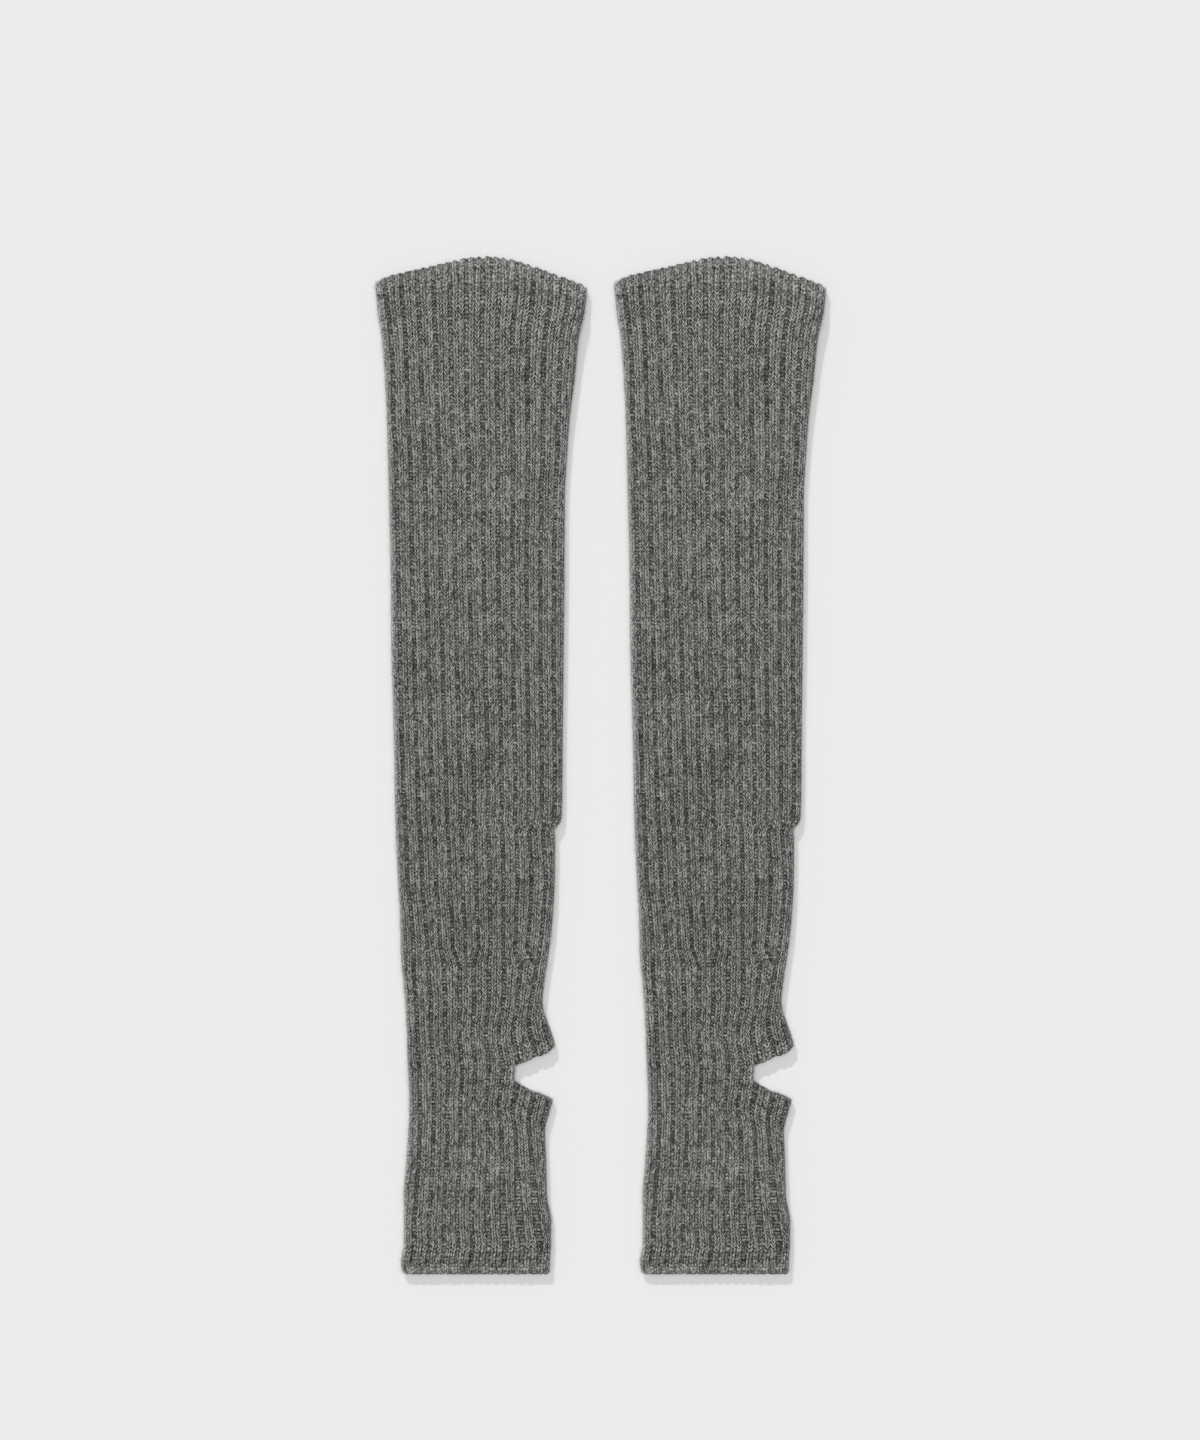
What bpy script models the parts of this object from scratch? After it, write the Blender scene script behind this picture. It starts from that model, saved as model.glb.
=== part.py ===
"""A pair of long ribbed knit leg warmers, laid flat side by side with the thigh ends towards +Y.

Each leg is one flattened knitted tube, whose two layers lie on each other. A finer rib welt edges
the thigh end, and a narrow welt edges the foot end. The heel opening runs through both layers at
the right-hand fold. +Z points up from the surface that the pair lies on, and the origin is the
middle of the pair's footprint. Sizes are in millimetres until they reach a mesh, which is in metres.
"""

import math
from collections import namedtuple

import bmesh
import bpy

MM = 0.001

# Spacing and length
LEG_SPACING = 153.0
TOP_COURSE = 635.2
TOP_PEAK = 15.4
LEG_LENGTH = TOP_COURSE + TOP_PEAK
FOOT_WELT_HEIGHT = 9.0
TOP_WELT_HEIGHT = 12.5
FOOT_SEAM = FOOT_WELT_HEIGHT
TOP_SEAM = TOP_COURSE - TOP_WELT_HEIGHT
SEAM_GAP = 0.3

# The cloth, from the surface upwards
UNDER_LAYER = 2.4
LAYER_GAP = 0.3
UPPER_LAYER = 1.8
RIB_HEIGHT = 1.0
WELT_RIB_HEIGHT = 0.6
FOLD_WALL = 2.2
FOLD_RADIUS = 2.6
END_ROUNDING = 0.9
CORNER_RADIUS = 3.0
SCALLOP = 0.7

# The heel opening, as courses and a share of the width
HOLE_SHARE = 0.725
UPPER_LIP_COURSE = 133.0
LOWER_LIP_COURSE = 124.0
UPPER_LIP_REACH = 70.0
LOWER_LIP_REACH = 75.0
ARCH_START = 560.0
ARCH_POWER = 1.6

# Outline of a leg at heights above the foot end. left and right are the folds, from the leg's own
# middle line. before and after are the parts of a rib outside the first and the last furrow.
SECTION_COLUMNS = ("height", "left", "right", "before", "after")
SECTIONS = (
    (0.0, -50.0, 43.5, 0.70, 0.60),
    (7.5, -51.2, 43.6, 0.70, 0.60),
    (19.0, -49.3, 44.3, 0.68, 0.60),
    (33.5, -49.3, 44.6, 0.65, 0.80),
    (50.0, -49.6, 41.9, 0.85, 0.75),
    (70.5, -48.0, 41.3, 0.86, 0.90),
    (91.0, -46.7, 40.6, 0.80, 1.00),
    (103.5, -46.1, 43.4, 0.80, 1.00),
    (111.5, -46.1, 45.4, 0.78, 1.00),
    (129.0, -46.7, 46.1, 0.76, 1.00),
    (145.5, -47.4, 46.7, 0.74, 1.00),
    (152.5, -47.4, 45.2, 0.74, 1.00),
    (161.5, -48.0, 42.0, 0.73, 0.95),
    (173.5, -48.6, 39.0, 0.73, 0.80),
    (188.0, -49.9, 40.3, 0.71, 0.71),
    (207.5, -51.5, 43.2, 0.90, 0.71),
    (226.5, -51.8, 45.4, 0.80, 0.71),
    (252.0, -53.1, 46.7, 0.63, 0.60),
    (278.0, -54.4, 47.0, 0.68, 0.85),
    (283.0, -54.6, 46.6, 0.68, 0.88),
    (290.5, -54.8, 50.8, 0.64, 0.57),
    (299.5, -55.0, 51.4, 0.62, 0.57),
    (342.0, -55.7, 51.8, 0.52, 0.60),
    (399.5, -57.3, 52.5, 0.58, 0.75),
    (457.0, -57.9, 53.1, 0.49, 0.77),
    (495.5, -58.9, 53.1, 0.53, 0.65),
    (521.0, -59.5, 54.4, 0.52, 0.65),
    (546.5, -60.2, 56.3, 0.45, 0.70),
    (572.0, -61.4, 59.5, 0.53, 0.90),
    (598.0, -63.4, 62.1, 0.58, 0.95),
    (617.0, -66.2, 66.2, 0.60, 0.95),
    (630.5, -67.5, 67.5, 0.60, 0.95),
)

# How far the rib lines lie to the right of even spacing, at quarters of the width
DRIFT_COLUMNS = ("height", "quarter", "half", "three_quarters")
RIB_DRIFTS = (
    (0.0, -1.0, -3.6, -2.4),
    (35.0, -1.1, -3.5, -2.6),
    (60.0, -0.8, -2.3, -1.8),
    (91.0, 0.1, -0.8, -1.2),
    (111.0, -0.8, -2.5, -4.4),
    (130.0, -0.5, -2.7, -4.6),
    (150.0, -0.5, -1.7, -3.6),
    (169.0, 0.5, 0.5, 0.4),
    (207.0, 1.1, 0.8, 0.3),
    (245.0, 0.9, -0.3, -0.6),
    (285.0, 1.0, 0.7, 0.7),
    (303.0, 1.2, 1.6, 1.5),
    (400.0, 0.4, 1.0, 1.2),
    (515.0, -0.3, -0.3, 0.3),
    (553.0, -1.2, -1.3, -1.1),
    (575.0, -1.9, -1.9, -2.3),
    (611.0, -1.8, -2.5, -2.3),
)

# How far the top edge stands above its left corner, at shares of the width
TOP_EDGE_COLUMNS = ("share", "rise")
TOP_EDGE = (
    (0.00, 0.0),
    (0.05, 2.9),
    (0.17, 6.7),
    (0.30, 10.6),
    (0.43, 14.4),
    (0.52, TOP_PEAK),
    (0.61, 14.4),
    (0.72, 10.6),
    (0.84, 4.8),
    (0.92, 1.0),
    (1.00, -3.2),
)

# How far the lips of the heel opening turn up and down from their inner end to the fold
LIP_COLUMNS = ("share", "upper", "lower")
LIPS = (
    (0.00, 0.0, 0.0),
    (0.10, 1.3, -2.4),
    (0.25, 3.0, -5.4),
    (0.50, 5.6, -7.0),
    (0.75, 7.9, -9.4),
    (0.90, 10.0, -11.0),
    (1.00, 12.8, -12.2),
)

# Ribs are numbered from the left fold, where rib 0 is the part before the first furrow. Each
# decrease ends one rib at a height, over a reach above it. It joins a neighbour, or closes.
FURROWS_AT_TOP = 12
CLOSED_WIDTH = 0.3
JOINED_WIDTH = 0.5
Decrease = namedtuple("Decrease", ("rib", "joins", "height", "reach"))
DECREASES = (
    Decrease(rib=12, joins=11, height=286.0, reach=9.0),
    Decrease(rib=10, joins=None, height=197.0, reach=22.0),
    Decrease(rib=5, joins=4, height=196.0, reach=22.0),
)

# Profiles across one rib, from a furrow on: share of the rib, share of its height
RIB_PROFILE = ((0.0, 0.0), (0.2, 0.85), (0.5, 1.0), (0.8, 0.85))
WELT_PROFILE = ((0.0, 0.0), (0.25, 1.0), (0.5, 0.0), (0.75, 1.0))

# Courses that carry a row of points
FOOT_WELT_COURSES = (0.0, 0.8, 2.0, 5.0, FOOT_SEAM - SEAM_GAP / 2.0)
TOP_WELT_COURSES = (TOP_SEAM + SEAM_GAP / 2.0, 628.0, 633.0, 634.4, TOP_COURSE)
TUBE_COURSES = (
    FOOT_SEAM + SEAM_GAP / 2.0, 22.0, 40.0, 58.0, 76.0, 92.0, 106.0, 116.0,
    LOWER_LIP_COURSE, 128.5, UPPER_LIP_COURSE,
    142.0, 152.0, 164.0, 178.0, 188.0, 193.0, 197.5, 203.0, 213.0,
    232.0, 254.0, 272.0, 281.5, 285.0, 287.0, 290.5, 295.5, 306.0,
    330.0, 360.0, 392.0, 424.0, 456.0, 488.0, 518.0, 546.0, 572.0, 596.0, 612.0,
    TOP_SEAM - SEAM_GAP / 2.0,
)
FOLD_ANGLES = (90.0, 45.0, 0.0, -45.0, -90.0)
UNDER_SHARES = tuple(step / 8.0 for step in range(1, 8))
INNER_SHARES = tuple(step / 6.0 for step in range(7))
FOLD_CLEARANCE = 0.9
KEY_MARGIN = 0.004
TURN = 2.0
SHARP_ANGLE = 50.0

WOOL_COLOUR = (0.138, 0.144, 0.135, 1.0)
WELT_COLOUR = (0.155, 0.160, 0.151, 1.0)
WOOL_ROUGHNESS = 0.95


def column(table, columns, name):
    """One named column of a table."""
    place = columns.index(name)
    return [row[place] for row in table]


def monotone(xs, ys, at):
    """A smooth curve through points that rises and falls only where the points do."""
    at = min(max(at, xs[0]), xs[-1])
    slopes = [(ys[i + 1] - ys[i]) / (xs[i + 1] - xs[i]) for i in range(len(xs) - 1)]
    low = 0
    while low < len(slopes) - 1 and at > xs[low + 1]:
        low += 1

    def tangent(i):
        if i == 0 or i == len(slopes):
            return slopes[min(i, len(slopes) - 1)]
        if slopes[i - 1] * slopes[i] <= 0.0:
            return 0.0
        return 2.0 * slopes[i - 1] * slopes[i] / (slopes[i - 1] + slopes[i])

    step = xs[low + 1] - xs[low]
    t = (at - xs[low]) / step
    return (
        ys[low] * (1.0 + 2.0 * t) * (1.0 - t) ** 2
        + tangent(low) * step * t * (1.0 - t) ** 2
        + ys[low + 1] * t * t * (3.0 - 2.0 * t)
        + tangent(low + 1) * step * t * t * (t - 1.0)
    )


def smooth(t):
    """0 to 1 with level ends."""
    t = min(max(t, 0.0), 1.0)
    return t * t * (3.0 - 2.0 * t)


def section(name, height):
    """A section's value at any height."""
    heights = column(SECTIONS, SECTION_COLUMNS, "height")
    return monotone(heights, column(SECTIONS, SECTION_COLUMNS, name), height)


def drifted(share, course, width):
    """The share of the width where a rib line runs, from its share at even spacing."""
    heights = column(RIB_DRIFTS, DRIFT_COLUMNS, "height")
    quarters = DRIFT_COLUMNS[1:]
    drifts = [monotone(heights, column(RIB_DRIFTS, DRIFT_COLUMNS, name), course) for name in quarters]
    shares = [step / (len(quarters) + 1) for step in range(len(quarters) + 2)]
    return share + monotone(shares, [0.0, *drifts, 0.0], share) / width


def lip_shift(share, course):
    """How far the heel opening's slanted lips draw a course up or down."""
    across = (share - HOLE_SHARE) / (1.0 - HOLE_SHARE)
    if across <= 0.0:
        return 0.0
    places = column(LIPS, LIP_COLUMNS, "share")
    upper = monotone(places, column(LIPS, LIP_COLUMNS, "upper"), across)
    lower = monotone(places, column(LIPS, LIP_COLUMNS, "lower"), across)
    if course >= UPPER_LIP_COURSE:
        return upper * (1.0 - smooth((course - UPPER_LIP_COURSE) / UPPER_LIP_REACH))
    if course <= LOWER_LIP_COURSE:
        return lower * (1.0 - smooth((LOWER_LIP_COURSE - course) / LOWER_LIP_REACH))
    part = (course - LOWER_LIP_COURSE) / (UPPER_LIP_COURSE - LOWER_LIP_COURSE)
    return lower + (upper - lower) * part


def height_at(share, course):
    """Height of a course above the foot end, where it crosses a share of the width."""
    shares = column(TOP_EDGE, TOP_EDGE_COLUMNS, "share")
    rise = monotone(shares, column(TOP_EDGE, TOP_EDGE_COLUMNS, "rise"), share)
    arch = max(course - ARCH_START, 0.0) / (TOP_COURSE - ARCH_START)
    return course + rise * arch**ARCH_POWER + lip_shift(share, course)


def corner_inset(course):
    """How far the folds draw in at the rounded corners of the two ends."""
    to_end = min(course, TOP_COURSE - course)
    if to_end >= CORNER_RADIUS:
        return 0.0
    return CORNER_RADIUS - math.sqrt(CORNER_RADIUS**2 - (CORNER_RADIUS - to_end) ** 2)


def fold_places(course):
    """Where the left and right folds cross a course."""
    inset = corner_inset(course)
    left = section("left", height_at(0.0, course)) + inset
    right = section("right", height_at(1.0, course)) - inset
    return left, right


def rib_widths(course):
    """Widths across the front from fold to fold, in ribs: the part before the first furrow, each
    whole rib, and the part after the last furrow."""
    whole = FURROWS_AT_TOP - 1
    widths = [section("before", course)] + [1.0] * whole + [section("after", course)]
    ended = []
    for rib, joins, height, reach in DECREASES:
        if course < height:
            ended.append(rib if joins is None or rib < FURROWS_AT_TOP else joins)
            continue
        near = 1.0 - smooth((course - height) / reach)
        if joins is None:
            widths[rib] *= 1.0 - (1.0 - CLOSED_WIDTH) * near
            continue
        widths[rib] *= 1.0 - (1.0 - JOINED_WIDTH) * near
        widths[joins] *= 1.0 - (1.0 - JOINED_WIDTH) * near
    return [width for rib, width in enumerate(widths) if rib not in ended]


def rib_columns(course, profile, rib_height):
    """(share, lift) of the points across the front's ribs, from the left fold to the right."""
    left, right = fold_places(course)
    widths = rib_widths(course)
    total = sum(widths)
    found = []
    start = 0.0
    for rib, width in enumerate(widths):
        first, last = rib == 0, rib == len(widths) - 1
        for along, lift in profile:
            if first:
                place = width - (1.0 - along)
            elif last:
                place = start + along * max(1.0, width)
            else:
                place = start + along * width
            inside = (place > 0.0) if first else (place < start + width)
            if inside:
                share = drifted(place / total, course, right - left)
                found.append((share, lift * rib_height))
        start += width
    return found


def to_hole(points):
    """Moves the front or back point nearest the heel opening's inner end exactly onto it."""
    nearest = min(range(len(points)), key=lambda i: abs(points[i][0] - HOLE_SHARE))
    points[nearest] = (HOLE_SHARE, points[nearest][1])
    return points


def outer_ring(course, profile, rib_height, at_hole, end=False):
    """(key, point) round the outside at a course. Keys run from the right fold over the front to 1
    at the left fold, and on under the back to 2."""
    left, right = fold_places(course)
    width = right - left
    drop = END_ROUNDING if end else 0.0
    front = UNDER_LAYER + LAYER_GAP + UPPER_LAYER - drop
    thickness = front + rib_height
    ribs = rib_columns(course, profile, rib_height)
    clear = FOLD_RADIUS + FOLD_CLEARANCE
    ribs = [(share, lift) for share, lift in ribs if clear < share * width < width - clear]
    under = [(share, 0.0) for share in UNDER_SHARES]
    if at_hole:
        ribs, under = to_hole(ribs), to_hole(under)

    def point(share, z, scallop=0.0):
        height = height_at(share, course) + scallop
        return (left + share * width, height - LEG_LENGTH / 2.0, z)

    def fold(angles, at_left):
        found = []
        for angle in angles:
            inward = FOLD_RADIUS * (1.0 - math.cos(math.radians(angle))) / width
            share = inward if at_left else 1.0 - inward
            z = thickness / 2.0 * (1.0 + math.sin(math.radians(angle)))
            on_front = angle >= 0.0
            found.append((1.0 - share if on_front else 1.0 + share, point(share, z)))
        return found

    ring = fold(reversed([angle for angle in FOLD_ANGLES if angle >= 0.0]), at_left=False)
    for share, lift in reversed(ribs):
        scallop = SCALLOP * (lift / rib_height - 0.5) if end else 0.0
        ring.append((1.0 - share, point(share, front + lift, scallop)))
    ring += fold(FOLD_ANGLES, at_left=True)
    ring += [(1.0 + share, point(share, 0.0)) for share, _ in under]
    ring += fold([angle for angle in reversed(FOLD_ANGLES) if angle < 0.0], at_left=False)
    return ring


def inner_ring(course, at_hole):
    """(key, point) round the thin space between the two layers at a course."""
    left, right = fold_places(course)
    width = right - left
    wall = FOLD_WALL / width
    shares = [(wall + share * (1.0 - 2.0 * wall), 0.0) for share in INNER_SHARES]
    if at_hole:
        shares = to_hole(shares)

    def point(share, z):
        return (left + share * width, height_at(share, course) - LEG_LENGTH / 2.0, z)

    above = UNDER_LAYER + LAYER_GAP
    ring = [(1.0 - share, point(share, above)) for share, _ in reversed(shares)]
    return ring + [(1.0 + share, point(share, UNDER_LAYER)) for share, _ in shares]


def zip_rows(bm, first, second, closed):
    """Faces between two rows of (key, vertex) whose keys rise."""
    if closed:
        first = first + [(first[0][0] + TURN, first[0][1])]
        second = second + [(second[0][0] + TURN, second[0][1])]
    i = j = 0
    alike = len(first) == len(second)
    while i < len(first) - 1 or j < len(second) - 1:
        next_first = first[i + 1][0] if i < len(first) - 1 else math.inf
        next_second = second[j + 1][0] if j < len(second) - 1 else math.inf
        apart = abs(next_first - next_second)
        paired = apart < next_first - second[j][0] and apart < next_second - first[i][0]
        if alike or paired:
            bm.faces.new((first[i][1], first[i + 1][1], second[j + 1][1], second[j][1]))
            i += 1
            j += 1
        elif next_first < next_second:
            bm.faces.new((first[i][1], first[i + 1][1], second[j][1]))
            i += 1
        else:
            bm.faces.new((first[i][1], second[j + 1][1], second[j][1]))
            j += 1


def add_ring(bm, ring):
    """The ring's points as vertices, in metres."""
    return [(key, bm.verts.new([value * MM for value in place])) for key, place in ring]


def around_hole(ring):
    """The part of a ring that reaches from the opening's inner end round the left fold."""
    near = HOLE_SHARE + KEY_MARGIN
    return [(key, vert) for key, vert in ring if 1.0 - near < key < 1.0 + near]


def along_lip(ring):
    """The part of a ring that borders the opening, round the right fold."""
    near = HOLE_SHARE - KEY_MARGIN
    front = [(key, vert) for key, vert in ring if key < 1.0 - near]
    back = [(key - TURN, vert) for key, vert in ring if key > 1.0 + near]
    return back + front


def mesh_of(bm, name):
    """A mesh with faces turned outwards and round parts shaded smooth."""
    bmesh.ops.recalc_face_normals(bm, faces=bm.faces)
    mesh = bpy.data.meshes.new(name)
    bm.to_mesh(mesh)
    bm.free()
    mesh.shade_smooth()
    mesh.set_sharp_from_angle(angle=math.radians(SHARP_ANGLE))
    return mesh


def welt_mesh(name, courses, end_course):
    """A short band of finer rib. The row at end_course is the garment's rounded edge."""
    bm = bmesh.new()
    outer, inner = [], []
    for course in courses:
        ring = outer_ring(course, WELT_PROFILE, WELT_RIB_HEIGHT, False, course == end_course)
        outer.append(add_ring(bm, ring))
        inner.append(add_ring(bm, inner_ring(course, False)))
    for rows in (outer, inner):
        for first, second in zip(rows, rows[1:]):
            zip_rows(bm, first, second, closed=True)
    for row in (0, -1):
        zip_rows(bm, outer[row], inner[row], closed=True)
    return mesh_of(bm, name)


def tube_mesh(name, courses):
    """The ribbed tube with its heel opening, as one wall with an outside and an inside."""
    bm = bmesh.new()
    rows = []
    for course in courses:
        at_hole = LOWER_LIP_COURSE <= course <= UPPER_LIP_COURSE
        inside_hole = LOWER_LIP_COURSE < course < UPPER_LIP_COURSE
        pair = []
        outside = outer_ring(course, RIB_PROFILE, RIB_HEIGHT, at_hole)
        for ring in (outside, inner_ring(course, at_hole)):
            if inside_hole:
                ring = around_hole(ring)
            pair.append(add_ring(bm, ring))
        rows.append((course, pair))
    edges = []
    for (low, first), (high, second) in zip(rows, rows[1:]):
        beside_hole = low >= LOWER_LIP_COURSE and high <= UPPER_LIP_COURSE
        for one, other in zip(first, second):
            if beside_hole:
                one, other = around_hole(one), around_hole(other)
            zip_rows(bm, one, other, closed=not beside_hole)
        if beside_hole:
            edges.append([[around_hole(ring) for ring in pair] for pair in (first, second)])
    for (outer, inner), (next_outer, next_inner) in edges:
        for end in (0, -1):
            bm.faces.new((outer[end][1], inner[end][1], next_inner[end][1], next_outer[end][1]))
    for course, (outer, inner) in rows:
        if course in (LOWER_LIP_COURSE, UPPER_LIP_COURSE):
            zip_rows(bm, along_lip(outer), along_lip(inner), closed=False)
    for outer, inner in (rows[0][1], rows[-1][1]):
        zip_rows(bm, outer, inner, closed=True)
    return mesh_of(bm, name)


def knit_material(name, colour):
    """Matt heathered wool."""
    material = bpy.data.materials.new(name)
    material.use_nodes = True
    shader = material.node_tree.nodes["Principled BSDF"]
    shader.inputs["Base Color"].default_value = colour
    shader.inputs["Roughness"].default_value = WOOL_ROUGHNESS
    shader.inputs["Metallic"].default_value = 0.0
    return material


def clear_scene():
    for found in list(bpy.data.objects):
        bpy.data.objects.remove(found, do_unlink=True)


def build():
    clear_scene()
    collection = bpy.data.collections.new("leg_warmers")
    bpy.context.scene.collection.children.link(collection)
    pieces = {
        "leg_tube": (tube_mesh("leg_tube", TUBE_COURSES), WOOL_COLOUR),
        "top_welt": (welt_mesh("top_welt", TOP_WELT_COURSES, TOP_COURSE), WELT_COLOUR),
        "foot_welt": (welt_mesh("foot_welt", FOOT_WELT_COURSES, 0.0), WELT_COLOUR),
    }
    for side, place in (("left", -0.5), ("right", 0.5)):
        leg = bpy.data.objects.new(side + "_leg_warmer", None)
        leg.location.x = place * LEG_SPACING * MM
        collection.objects.link(leg)
        for piece, (mesh, colour) in pieces.items():
            name = side + "_" + piece
            shown = bpy.data.objects.new(name, mesh.copy())
            shown.data.materials.append(knit_material(name + "_wool", colour))
            shown.parent = leg
            collection.objects.link(shown)


build()
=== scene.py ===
"""Looks of a pair of long ribbed wool leg warmers, laid flat side by side on a pale floor.

Each leg is a flattened knitted tube whose surface is built stitch by stitch: rows of points follow
the V of every knit stitch, and the columns follow the ribs and the furrows between them. Sizes are
in millimetres from the leg's middle line and foot end until they reach a mesh, in metres.
"""

import math
from collections import namedtuple

import bmesh
import bpy
import numpy as np
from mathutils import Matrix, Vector


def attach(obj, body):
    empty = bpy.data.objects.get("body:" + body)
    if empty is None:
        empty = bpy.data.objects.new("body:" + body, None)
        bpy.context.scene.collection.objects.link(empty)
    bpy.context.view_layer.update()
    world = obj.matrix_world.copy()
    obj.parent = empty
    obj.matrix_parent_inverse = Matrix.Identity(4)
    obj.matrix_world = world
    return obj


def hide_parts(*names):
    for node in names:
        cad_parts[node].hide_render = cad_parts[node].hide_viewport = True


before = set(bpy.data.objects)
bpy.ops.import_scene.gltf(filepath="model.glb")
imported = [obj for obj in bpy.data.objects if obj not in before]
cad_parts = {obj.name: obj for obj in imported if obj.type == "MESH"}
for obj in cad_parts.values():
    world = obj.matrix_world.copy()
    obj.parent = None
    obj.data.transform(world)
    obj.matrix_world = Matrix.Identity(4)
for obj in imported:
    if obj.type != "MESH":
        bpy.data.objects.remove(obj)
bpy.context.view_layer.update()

MM = 0.001
TINY = 1e-6

# Spacing and length of the legs, and the seams of the welts
LEG_SPACING = 153.0
TOP_COURSE = 635.2
TOP_PEAK = 15.4
LEG_LENGTH = TOP_COURSE + TOP_PEAK
SIDES = (("left", -0.5 * LEG_SPACING), ("right", 0.5 * LEG_SPACING))
FOOT_SEAM = 9.0
TOP_SEAM = 622.7
SEAM_GAP = 0.06

# The cloth, from the floor upwards, and its folds
UNDER_LAYER = 2.4
UPPER_START = 2.7
CREST = 5.5
WELT_CREST = 5.2
FOLD_WALL = 2.2
FOLD_RADIUS = 2.6
FOLD_ARC = 2.68
FOLD_PUFFS = (0.45, 0.15)
CORNER_RADIUS = 1.6

# The heel opening
HOLE_SHARE = 0.725
UPPER_LIP = 133.0
LOWER_LIP = 124.0
HOLE_MIDDLE = (LOWER_LIP + UPPER_LIP) / 2.0
UPPER_LIP_REACH = 70.0
LOWER_LIP_REACH = 75.0

# The arch of the thigh end: where courses start to bend, and how fast
ARCH_START = 560.0
ARCH_POWER = 1.6

# Outline of a leg: height, left fold, right fold, ribs before the first and after the last furrow
SECTIONS = (
    (0.0, -50.0, 43.5, 0.7, 0.6), (7.5, -51.2, 43.6, 0.7, 0.6),
    (19.0, -49.3, 44.3, 0.68, 0.6), (33.5, -49.3, 44.6, 0.65, 0.8),
    (50.0, -49.6, 41.9, 0.85, 0.75), (70.5, -48.0, 41.3, 0.86, 0.9),
    (91.0, -46.7, 40.6, 0.8, 1.0), (103.5, -46.1, 43.4, 0.8, 1.0),
    (111.5, -46.1, 45.4, 0.78, 1.0), (129.0, -46.7, 46.1, 0.76, 1.0),
    (145.5, -47.4, 46.7, 0.74, 1.0), (152.5, -47.4, 45.2, 0.74, 1.0),
    (161.5, -48.0, 42.0, 0.73, 0.95), (173.5, -48.6, 39.0, 0.73, 0.8),
    (188.0, -49.9, 40.3, 0.71, 0.71), (207.5, -51.5, 43.2, 0.9, 0.71),
    (226.5, -51.8, 45.4, 0.8, 0.71), (252.0, -53.1, 46.7, 0.63, 0.6),
    (278.0, -54.4, 47.0, 0.68, 0.85), (283.0, -54.6, 46.6, 0.68, 0.88),
    (290.5, -54.8, 50.8, 0.64, 0.57), (299.5, -55.0, 51.4, 0.62, 0.57),
    (342.0, -55.7, 51.8, 0.52, 0.6), (399.5, -57.3, 52.5, 0.58, 0.75),
    (457.0, -57.9, 53.1, 0.49, 0.77), (495.5, -58.9, 53.1, 0.53, 0.65),
    (521.0, -59.5, 54.4, 0.52, 0.65), (546.5, -60.2, 56.3, 0.45, 0.7),
    (572.0, -61.4, 59.5, 0.53, 0.9), (598.0, -63.4, 62.1, 0.58, 0.95),
    (617.0, -66.2, 66.2, 0.6, 0.95), (630.5, -67.5, 67.5, 0.6, 0.95),
)
HEIGHTS, LEFTS, RIGHTS, BEFORES, AFTERS = np.array(SECTIONS).T

# How far the rib lines lie right of even spacing: height, then quarter, half and three quarters
RIB_DRIFTS = (
    (0.0, -1.0, -3.6, -2.4), (35.0, -1.1, -3.5, -2.6), (60.0, -0.8, -2.3, -1.8),
    (91.0, 0.1, -0.8, -1.2), (111.0, -0.8, -2.5, -4.4), (130.0, -0.5, -2.7, -4.6),
    (150.0, -0.5, -1.7, -3.6), (169.0, 0.5, 0.5, 0.4), (207.0, 1.1, 0.8, 0.3),
    (245.0, 0.9, -0.3, -0.6), (285.0, 1.0, 0.7, 0.7), (303.0, 1.2, 1.6, 1.5),
    (400.0, 0.4, 1.0, 1.2), (515.0, -0.3, -0.3, 0.3), (553.0, -1.2, -1.3, -1.1),
    (575.0, -1.9, -1.9, -2.3), (611.0, -1.8, -2.5, -2.3),
)
DRIFT_HEIGHTS, *DRIFTS = np.array(RIB_DRIFTS).T

# How far the top edge stands above its left corner: share of the width, rise
TOP_EDGE = (
    (0.0, 0.0), (0.05, 2.9), (0.17, 6.7), (0.3, 10.6), (0.43, 14.4), (0.52, TOP_PEAK),
    (0.61, 14.4), (0.72, 10.6), (0.84, 4.8), (0.92, 1.0), (1.0, -3.2),
)
TOP_SHARES, TOP_RISES = np.array(TOP_EDGE).T

# How far the opening's lips turn up and down: share from its inner end to the fold, upper, lower
LIPS = (
    (0.0, 0.0, 0.0), (0.1, 1.3, -2.4), (0.25, 3.0, -5.4), (0.5, 5.6, -7.0),
    (0.75, 7.9, -9.4), (0.9, 10.0, -11.0), (1.0, 12.8, -12.2),
)
LIP_SHARES, UPPER_TURNS, LOWER_TURNS = np.array(LIPS).T

# How far the right fold lifts off the floor below the thigh's corner: height, lift
RIGHT_LIFTS = (
    (505.0, 0.0), (554.0, 0.4), (582.0, 1.2), (602.0, 2.1),
    (613.0, 1.9), (624.0, 0.8), (640.0, 0.4),
)
LIFT_HEIGHTS, LIFTS = np.array(RIGHT_LIFTS).T
LIFT_START = 0.68

# Ribs of a leg at the top, and the decreases that end three of them: the rib, the one it joins,
# height of its end, how far above that it narrows, down to what, and the ribs that take its width
RIBS = 13
STEP_HEIGHT = 286.0
DECREASE_HEIGHT = 196.5
DECREASES = (
    (12, None, STEP_HEIGHT, 5.0, 0.22, ()),
    (10, None, DECREASE_HEIGHT, 14.0, 0.3, (8, 9, 11)),
    (5, 4, DECREASE_HEIGHT, 14.0, 0.5, (2, 3, 6, 7)),
)
DECREASE_SPREAD = 35.0

# How far above a decrease its furrows get painted shade, in its reaches, and how much
DRAWN_REACH = 3.0
DRAWN_FURROW_SHADE = 0.3

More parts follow.
